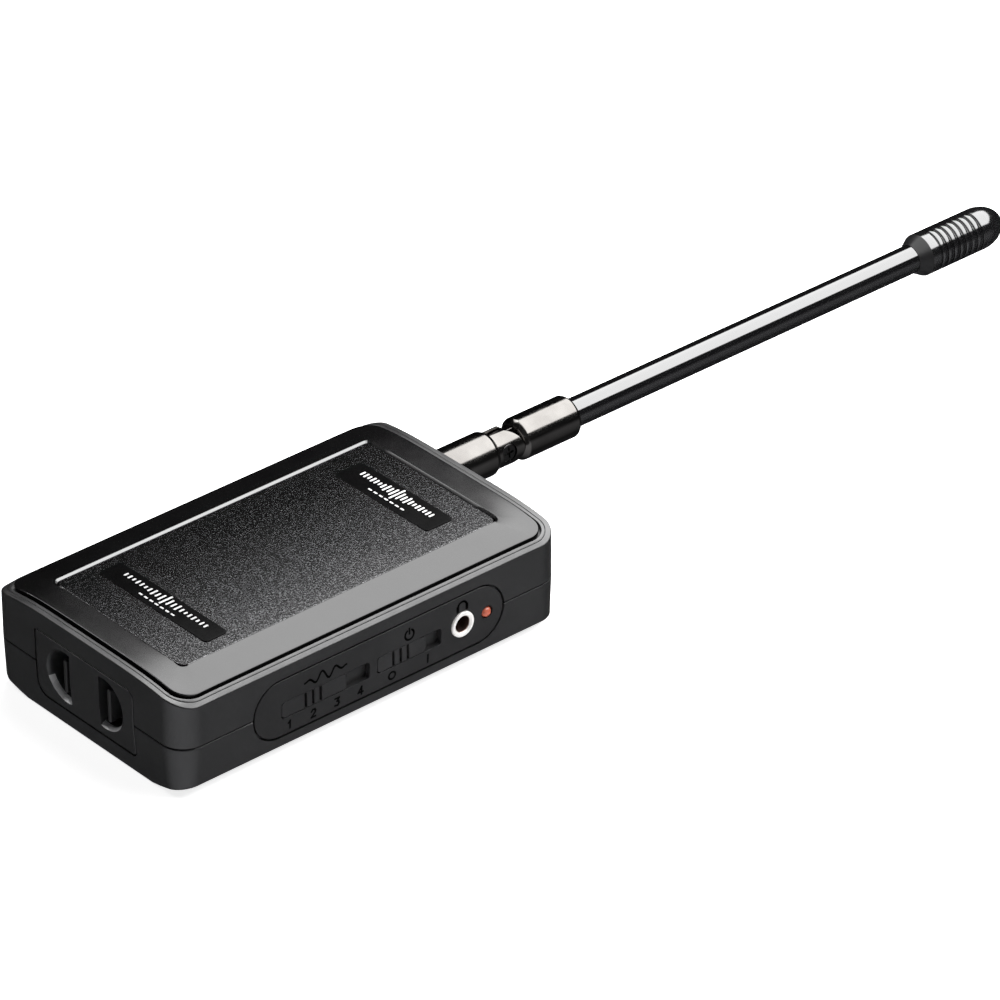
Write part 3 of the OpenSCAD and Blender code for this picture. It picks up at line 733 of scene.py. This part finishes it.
def socket_plate():
    obj = piece("socket_plate_face", *prism(plate_outline(-0.1), HALF_L - WALL, HALF_L, endways,
                                            edge1=0.16), shell_mat,
                replaces="socket_plate", slot="shell")
    carve(obj, [tool(*prism(lambda d, m=m: dee(d - 1, m), HALF_L - 10.2, HALF_L - 1, endways,
                            edge1=0)) for m in (-1, 1)], "UNION")
    narrow, deep = 0.7, 1.2           # lead-in of the round side
    stages = ((narrow, HALF_L - 9), (narrow, HALF_L - deep), (0.0, HALF_L), (-0.3, HALF_L + 0.5))
    for m in (-1, 1):
        hole = skin([[endways(a, b, c) for a, b in dee(0, m, taper)] for taper, c in stages])
        carve(obj, [tool(*hole)])
    # the lower lead-in faces get the pale grey plastic: a painted highlight
    obj.data.materials.append(lead_in_highlight_mat)
    for face in obj.data.polygons:
        at, n = face.center / MM, face.normal
        if -HALF_L < at.y < -HALF_L + deep and 0.3 < -n.y < 0.7 and n.z > 0.3:
            face.material_index = 1
    lean_in(obj, lambda co: co.y < -HALF_L + WALL + 0.5, 1)
    return obj


def lean_in(obj, choose, axis):
    """Leans the part of a plate below the joint line in with the lower wall."""
    bm = bmesh.new()
    bm.from_mesh(obj.data)
    geometry = bm.verts[:] + bm.edges[:] + bm.faces[:]
    bmesh.ops.bisect_plane(bm, geom=geometry, plane_co=(0, 0, JOINT * MM),
                           plane_no=(0, 0, 1), dist=1e-7)
    for v in bm.verts:
        co = v.co / MM
        if choose(co) and co.z < JOINT:
            back = DRAFT * (JOINT - co.z) / (JOINT - SIDE_FOOT)
            v.co[axis] -= back * MM * (1 if v.co[axis] > 0 else -1)
    bm.to_mesh(obj.data)
    bm.free()
    tidy(obj.data)


def socket_fins():
    for m, side in ((-1, "left"), (1, "right")):
        x = m * (fin_hi.x - 0.5)
        outline = slab(1.0, fin_hi.z - fin_lo.z, 0.3, x, (fin_lo.z + fin_hi.z) / 2, n=4, m=1)
        obj = piece("socket_fin_" + side,
                    *prism(outline, HALF_L - 9.2, HALF_L - 0.6, endways, edge1=0.3),
                    fin_mat, slot="fin")
        if m == 1:
            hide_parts("socket_fins")


# ---------------------------------------------------------------- controls


def windows():
    """Slider windows as (middle y, length, height, middle z, stem slot length)."""
    out = []
    for node, joint in (("freq_slider", "freq_slide"), ("power_slider", "power_slide")):
        lo, hi = box(node)
        travel = next(j for j in frame["joints"] if j["name"] == joint)["range_m"][1] / MM
        y0, y1 = lo.y - SLIDE_FIT, hi.y + travel + SLIDE_FIT
        out.append(((y0 + y1) / 2, y1 - y0, hi.z - lo.z + 0.14, (lo.z + hi.z) / 2,
                    travel + STEM_L + 2 * SLIDE_FIT))
    return out


def control_plate():
    obj = piece("control_plate_face", *prism(stadium(-0.14), HALF_W - 1.4, HALF_W, sideways,
                                             edge1=0.16), plate_mat,
                replaces="control_plate", slot="shell")
    jack, lens = middle("jack_bush"), middle("lamp_lens")
    cuts = [side_hole(slab(l, h, 0.75, y, z, n=5, m=1), 3, 1) for y, l, h, z, _ in windows()]
    cuts += [side_hole(disc(BUSH_R + 0.06, jack.y, jack.z), 3, 1),
             side_hole(disc(LENS_R + 0.08, lens.y, lens.z), 3, 1)]
    carve(obj, [tool(*t) for t in cuts])
    lean_in(obj, lambda co: True, 0)
    return bevelled(obj, 0.07, 50)


def sliders():
    for node, body in (("freq_slider", "freq"), ("power_slider", "power")):
        lo, hi = box(node)
        c = (lo + hi) / 2
        cap = prism(slab(hi.y - lo.y - 0.2, hi.z - lo.z - 0.2, 0.85, c.y, c.z, n=8, m=1),
                    HALF_W - 1.35, HALF_W - 0.1, sideways, edge1=0.14)
        obj = piece(node + "_cap", *cap, slider_mat, body=body, replaces=node, slot="shell")
        stem = prism(slab(STEM_L, STEM_H, 0.1, c.y, c.z, n=2, m=1), lo.x, HALF_W - 1.3, sideways,
                     edge1=0)
        carve(obj, [tool(*stem)], "UNION")
        slots = [side_hole(slab(0.66, 3.5, 0.2, c.y + FINGER_PITCH * i - 0.35, c.z, n=3, m=1),
                           0.95, 1) for i in (-1, 0, 1)]
        carve(obj, [tool(*t) for t in slots])


def side_axis(node):
    """Axis for turned() that runs along +X through the middle of a node."""
    c = middle(node)
    return lambda s, a, b: (s, c.y + a, c.z + b)


def jack():
    lo, hi = box("jack_bush")
    profile = [(lo.x, BUSH_BORE), (hi.x - 0.5, BUSH_BORE), (hi.x - 0.1, 2.15), (hi.x, 2.3),
               (hi.x, 2.62), (hi.x - 0.2, BUSH_R - 0.02), (hi.x - 0.45, BUSH_R), (lo.x, BUSH_R)]
    # the ring's near-white colour is a painted reflection
    obj = piece("jack_bush_ring", *turned(soft_profile(profile, 0.12, True), True, 72,
                                          side_axis("jack_bush")), jack_reflection_mat,
                replaces="jack_bush", slot="nickel")
    obj.data.materials.append(bore_mat)
    axis = middle("jack_bush")
    for face in obj.data.polygons:
        at = face.center / MM
        if (at - Vector((at.x, axis.y, axis.z))).length < BUSH_BORE + 0.1:
            face.material_index = 1


def lamp():
    lo, hi = box("lamp_lens")
    r, flange_r = 1.16, 1.9
    turns = [pi / 2 * i / 12 for i in range(13)]
    dome = [(hi.x - r + r * cos(a), r * sin(a)) for a in turns][::-1]
    profile = [(lo.x, 0.0), (lo.x, flange_r), (lo.x + 0.85, flange_r), (lo.x + 0.9, LENS_R),
               (hi.x - r - 0.5, LENS_R), (hi.x - r - 0.4, r)] + dome
    piece("lamp_lens_dome", *turned(profile, False, 48, side_axis("lamp_lens")), lamp_mat,
          replaces="lamp_lens", slot="lamp")


# ---------------------------------------------------------------- printed marks


def stroke(path, width):
    """Verts and faces of a flat stroke along a path of (y, z) points on the control strip."""
    verts, faces = [], []
    front = HALF_W + 0.012

    def face_x(z):
        return front - DRAFT * max(JOINT - z, 0) / (JOINT - SIDE_FOOT)

    for a, b in zip(path, path[1:]):
        a, b = Vector(a), Vector(b)
        along = (b - a).normalized() * width / 2
        across = Vector((-along.y, along.x))
        base = len(verts)
        for p in (a - along + across, a - along - across, b + along - across, b + along + across):
            verts += [(face_x(p.y), p.x, p.y), (face_x(p.y) - 0.05, p.x, p.y)]
        ring = [base, base + 2, base + 4, base + 6]
        faces += [tuple(ring), tuple(i + 1 for i in reversed(ring))]
        faces += [(ring[i], ring[i] + 1, ring[(i + 1) % 4] + 1, ring[(i + 1) % 4])
                  for i in range(4)]
    return verts, faces


def arc_path(y, z, r, a0, a1, n):
    """Arc about (y, z) from a0 to a1 degrees in n steps."""
    turns = [radians(between(a0, a1, i / n)) for i in range(n + 1)]
    return [(y + r * cos(a), z + r * sin(a)) for a in turns]


def control_marks():
    """Generic marks: dial numbers, 0 and 1 for the power slide, and plain pictograms."""
    digit = {1: [[(-0.3, 0.5), (0.1, 0.9), (0.1, -0.9)]],
             2: [[(-0.5, 0.5), (-0.2, 0.9), (0.3, 0.9), (0.5, 0.5), (0.4, 0.1), (-0.5, -0.9),
                  (0.55, -0.9)]],
             3: [[(-0.5, 0.9), (0.5, 0.9), (0.0, 0.2), (0.4, 0.05), (0.5, -0.4), (0.2, -0.9),
                  (-0.5, -0.8)]],
             4: [[(0.25, -0.9), (0.25, 0.9), (-0.6, -0.4), (0.6, -0.4)]]}
    paths = []
    line, pitch = 0.42, 6.15                 # width of a stroke, spacing of the numbers
    (fy, fl, _, fz, _), (py, pl, _, pz, _) = windows()
    first = fy - fl / 2 + 2.2
    for i in range(4):
        y, z = first + pitch * i, fz - 4.05
        paths += [([(y + a, z + b) for a, b in points], line) for points in digit[i + 1]]
    off, on = py - pl / 2 + 4.0, py + pl / 2 - 3.5
    paths.append((arc_path(off, pz - 4.0, 0.85, 0, 360, 24), 0.4))
    paths.append(([(on, pz - 4.9), (on, pz - 3.1)], 0.44))
    top = fz + 4.1
    steps, step, wavelength = 36, 0.3, 3.6   # radio wave that fades at both ends
    paths.append(([(fy - steps * step / 2 + step * i,
                    top + 1.15 * sin(step * i * 2 * pi / wavelength) * sin(pi * i / steps))
                   for i in range(steps + 1)], line))
    paths.append((arc_path(py, top - 0.1, 1.15, 120, 420, 28), line))
    paths.append(([(py, top + 0.15), (py, top + 1.35)], line))
    jy, band = middle("jack_bush").y, 1.2    # headphones: band radius and two ear pads
    paths.append((arc_path(jy, top + 0.6, band, 0, 180, 20), line))
    for side in (-1, 1):
        paths.append(([(jy + side * band, top + 0.65), (jy + side * band, top - 0.1)], 0.7))
    verts, faces = [], []
    for path, width in paths:
        v, f = stroke(path, width)
        faces += [tuple(i + len(verts) for i in face) for face in f]
        verts += v
    mesh = bpy.data.meshes.new("control_marks")
    mesh.from_pydata([Vector(v) * MM for v in verts], [], faces)
    mesh.materials.append(ink_mat)
    obj = bpy.data.objects.new("control_marks", mesh)
    bpy.context.scene.collection.objects.link(obj)
    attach(obj, "housing")


# ---------------------------------------------------------------- antenna


def at_pivot(shape):
    """Moves a shape drawn about the fold pivot, as if it lay along +X, to its place."""
    turn = Matrix.Rotation(-LEAN, 3, "Y")
    verts, faces = shape
    return [tuple(PIVOT + turn @ Vector(v)) for v in verts], faces


def antenna_base():
    """Cup-shaped sleeve that turns in the bushing and holds the knuckle's spigot."""
    base_lo, base_hi = box("antenna_base")
    stub_r, sleeve_r, mouth_r, pocket_r = 3.0, 5.0, 4.5, 4.05
    start = HALF_L + GAP
    pocket = start + 9.85
    profile = [(base_lo.y, 0.0), (base_lo.y, stub_r), (start, stub_r), (start, sleeve_r),
               (base_hi.y - 1.0, sleeve_r), (base_hi.y, mouth_r), (base_hi.y, pocket_r),
               (pocket, pocket_r), (pocket, 0.0)]
    piece("antenna_base_sleeve", *turned(soft_profile(profile, 0.12)), nickel_mat, body="swivel",
          replaces="antenna_base", slot="nickel")


def antenna_knuckle():
    """Forked knuckle with a round nose, a slot for the tongue and a recess for the screw head."""
    base_end = highest("antenna_base").y
    spigot, spigot_r = HALF_L + GAP + 12, 3.98
    nose_r, end = 4.2, PIVOT.y + 4.2
    profile = [(spigot, 0.0), (spigot, spigot_r), (base_end + 0.05, spigot_r),
               (base_end + 0.12, KNUCKLE_R), (end - 0.02, KNUCKLE_R), (end, KNUCKLE_R - 0.05),
               (end, 0.0)]
    obj = piece("antenna_knuckle_fork", *turned(profile), nickel_mat, body="swivel",
                replaces="antenna_knuckle", slot="nickel")
    keep = tool(*at_pivot(prism(disc(nose_r, 0, 0, 96), -6, 6, sideways, edge1=0)))
    carve(keep, [tool(*at_pivot(block((-6, 6), (-30, 0), (-6, 6))))], "UNION")
    carve(obj, [keep], "INTERSECT")
    slot_half, slot_floor, hole_r, recess_r = 1.25, -3.5, 1.02, 2.0
    carve(obj, [tool(*at_pivot(t)) for t in (
        block((-slot_half, slot_half), (slot_floor, 8), (-6, 6)),
        prism(disc(hole_r, 0, 0, 32), -7, 7, sideways, edge1=0),
        prism(disc(recess_r, 0, 0, 48), 2.7, 7, sideways, edge1=0))])
    bevelled(obj, 0.12, 40)


def fold_screw():
    """Pivot screw with a cross recess."""
    shaft_r, head_r, reach, groove = 1.0, 1.9, 1.25, 0.24
    head = prism(disc(head_r, 0, 0, 48), 2.75, 3.95, sideways, edge1=0.25)
    shaft = prism(disc(shaft_r, 0, 0, 32), -3.4, 2.9, sideways, edge1=0.05)
    screw = piece("antenna_fold_screw", *at_pivot(head), screw_mat, body="swivel",
                  replaces="hinge_screw", slot="steel")
    carve(screw, [tool(*at_pivot(shaft))], "UNION")
    carve(screw, [tool(*at_pivot(block((3.4, 5), (-reach, reach), (-groove, groove)))),
                  tool(*at_pivot(block((3.4, 5), (-groove, groove), (-reach, reach))))])


def antenna_tongue():
    """Flat tongue on the pivot, with a round shank that runs into the collar."""
    r, half, hole_r, shank_r = 3.4, 0.75, 1.05, 3.2
    shank = (PIVOT.y + 4.35, PIVOT.y + 15.9)
    tongue = piece("antenna_fold_tongue",
                   *at_pivot(prism(disc(r, 0, 0, 96), -half, half, sideways, edge0=0.12,
                                   edge1=0.12)),
                   nickel_mat, body="aerial", replaces="antenna_tongue", slot="nickel")
    carve(tongue, [tool(*at_pivot(prism(slab(4.6, 2 * r, 0.1, 2.15, 0, n=2, m=1), -half, half,
                                        sideways, edge0=0.12, edge1=0.12))),
                   tool(*turned([(shank[0], 0.0), (shank[0], shank_r),
                                 (shank[1], shank_r), (shank[1], 0.0)]))], "UNION")
    carve(tongue, [tool(*at_pivot(prism(disc(hole_r, 0, 0, 32), -3, 3, sideways, edge1=0)))])


def antenna_sleeves():
    """Collar and rod."""
    collar_lo, collar_hi = box("antenna_collar")
    y0, y1 = collar_lo.y, collar_hi.y
    bore = 3.34
    collar = [(y0 + 0.02, bore), (y0, 3.85), (y0 + 0.5, 4.4), (y0 + 1.0, COLLAR_R),
              (y1 - 0.9, COLLAR_R), (y1 - 0.25, 4.35), (y1, 4.0), (y1, bore)]
    piece("antenna_collar_sleeve", *turned(soft_profile(collar, 0.2, True), True), nickel_mat,
          body="aerial", replaces="antenna_collar", slot="nickel")
    rod_lo, rod_hi = box("antenna_rod")
    wire_r = 1.35
    rod = [(rod_lo.y, wire_r), (rod_lo.y, ROD_R), (rod_hi.y - 0.1, ROD_R), (rod_hi.y, wire_r)]
    piece("antenna_rod_tube", *turned(rod, True, 128), rod_mat, body="aerial",
          replaces="antenna_rod", slot="rod")


def antenna_tip():
    """Tip with a matte ramp, eight grooves and a long dome."""
    tip_lo, tip_hi = box("antenna_tip")
    tip_r = tip_hi.x - ANT_X
    start, ramp = tip_lo.y, tip_lo.y + 2.8
    profile = [(start + 1, 3.3), (start, 3.35), (start + 0.3, 3.5), (start + 2.5, tip_r - 0.1),
               (ramp, tip_r)]
    grooves, pitch, first = 8, 1.8, tip_hi.y - 21.75
    for i in range(grooves):
        y = first + pitch * i
        for dy, dip in ((-0.4, 0.0), (-0.32, 0.05), (-0.29, 0.4), (0.0, 0.45), (0.29, 0.4),
                        (0.32, 0.05), (0.4, 0.0)):
            profile.append((y + dy, tip_r - dip))
    dome = 1.45 * tip_r
    profile += [(tip_hi.y - dome + dome * sin(a), tip_r * cos(a))
                for a in (pi / 2 * i / 20 for i in range(21))]
    tip = piece("antenna_tip_ribbed", *turned(profile), tip_mat, body="aerial",
                replaces="antenna_tip", slot="tip")
    tip.data.materials.append(ramp_mat)
    for face in tip.data.polygons:
        if face.center.y / MM < ramp:
            face.material_index = 1


# ---------------------------------------------------------------- carried-over CAD nodes

CARRIED = {
    steel_mat: ("housing_screws", "antenna_clip", "board_screws"),
    tin_mat: ("freq_switch", "power_switch", "switch_pins", "jack_pins", "lamp_leads",
              "shield_can", "tuning_coils", "crystal_can", "battery_studs", "snap_contacts"),
    component_mat: ("jack_body", "tuner_chip", "audio_chip", "electrolytic_caps", "snap_plate"),
    ceramic_mat: ("chip_capacitors",),
    battery_mat: ("battery_case",),
    brass_mat: ("antenna_bushing",),
    copper_mat: ("antenna_contact", "antenna_whip"),
    board_mat: ("circuit_board",),
    shell_mat: ("battery_cradle",),
}


def dress_carried():
    """Gives the CAD nodes that stay as they are their materials."""
    for material, names in CARRIED.items():
        for name in names:
            for slot in frame["nodes"][name].material_slots:
                slot.material = material


# ---------------------------------------------------------------- studio


def pale_floor():
    floor = tool(*prism(slab(9000, 9000, 50, 0, 0, n=4, m=4), -20, -0.02, edge1=0))
    floor.name = "floor"
    m = Nodes("pale_floor")
    m.feed(Base_Color=m.blend(m.ranged(m.noise(400, 2), 0, 1), (0.80, 0.80, 0.80),
                              (0.82, 0.82, 0.82)))
    m.set(Roughness=0.9, Specular_IOR_Level=0.1, Emission_Color=(1, 1, 1, 1),
          Emission_Strength=0.8)
    floor.data.materials.append(m.material)
    floor.visible_glossy = False


def softbox(name, at, look, width, length, watts):
    """White rectangular light at one point, aimed at another, in metres."""
    data = bpy.data.lights.new(name, "AREA")
    data.shape, data.size, data.size_y, data.energy = "RECTANGLE", width, length, watts
    obj = bpy.data.objects.new(name, data)
    obj.location = at
    aim = (Vector(look) - Vector(at)).to_track_quat("-Z", "Y")
    obj.rotation_euler = aim.to_matrix().to_euler()
    bpy.context.scene.collection.objects.link(obj)


def surroundings():
    """Dark above the horizon, brighter below it and most of all to the front right corner."""
    world = bpy.data.worlds.new("studio_dark")
    world.use_nodes = True
    tree, sky = world.node_tree, world.node_tree.nodes["Background"]
    sky.inputs["Color"].default_value = (0.95, 0.96, 1, 1)
    way = tree.nodes.new("ShaderNodeTexCoord").outputs["Generated"]
    both = tree.nodes.new("ShaderNodeMath")
    both.operation = "MULTIPLY"
    tree.links.new(both.outputs["Value"], sky.inputs["Strength"])
    ranges = (((0, 0, 1), 0.05, -0.2, 0.12, 1.0), ((0.755, -0.656, 0), -0.12, 0.85, 0.03, 0.52))
    for factor, (towards, start, end, low, high) in zip(both.inputs, ranges):
        turn, level = tree.nodes.new("ShaderNodeVectorMath"), tree.nodes.new("ShaderNodeMapRange")
        turn.operation = "DOT_PRODUCT"
        turn.inputs[1].default_value = towards
        tree.links.new(way, turn.inputs[0])
        tree.links.new(turn.outputs["Value"], level.inputs["Value"])
        for socket, number in (("From Min", start), ("From Max", end), ("To Min", low),
                               ("To Max", high)):
            level.inputs[socket].default_value = number
        tree.links.new(level.outputs["Result"], factor)
    bpy.context.scene.world = world


def studio():
    """Floor, three softboxes and the surroundings."""
    pale_floor()
    # the overhead box's edges set where the stripe on the antenna begins and ends
    softbox("overhead", (0.25, 1.05, 1.2), (0.25, 1.05, 0), 2.4, 1.7, 16)
    # the close box shades the face from dark at one side to bright at the other
    softbox("close_box", (0.015, 0.22, 0.165), (0.015, 0.22, 0), 0.302, 0.44, 1.42)
    softbox("front_left", (-0.66, -0.24, 0.78), (0.0, -0.05, 0.02), 0.40, 0.40, 2.2)
    surroundings()


def camera():
    azimuth, elevation, roll = radians(49.03), radians(31.92), radians(-0.17)
    target, distance = Vector((0.0172, 0.0447, 0.0260)), 1.368
    back = Vector((sin(azimuth) * cos(elevation), -cos(azimuth) * cos(elevation), sin(elevation)))
    right = Vector((cos(azimuth), sin(azimuth), 0))
    up = back.cross(right)
    right, up = cos(roll) * right + sin(roll) * up, cos(roll) * up - sin(roll) * right
    data = bpy.data.cameras.new("camera")
    data.lens, data.sensor_width = 240.8, 36
    data.clip_start, data.clip_end = 0.05, 50
    obj = bpy.data.objects.new("camera", data)
    turn = Matrix((right, up, back)).transposed()
    obj.matrix_world = Matrix.Translation(target + back * distance) @ turn.to_4x4()
    bpy.context.scene.collection.objects.link(obj)
    bpy.context.scene.camera = obj


upper_shell()
lower_shell()
face_frame()
face_panel()
label_plates()
battery_door()
socket_plate()
socket_fins()
control_plate()
sliders()
jack()
lamp()
control_marks()
antenna_base()
antenna_knuckle()
fold_screw()
antenna_tongue()
antenna_sleeves()
antenna_tip()
dress_carried()
studio()
camera()

bpy.context.scene.view_settings.view_transform = "Standard"
bpy.context.view_layer.update()
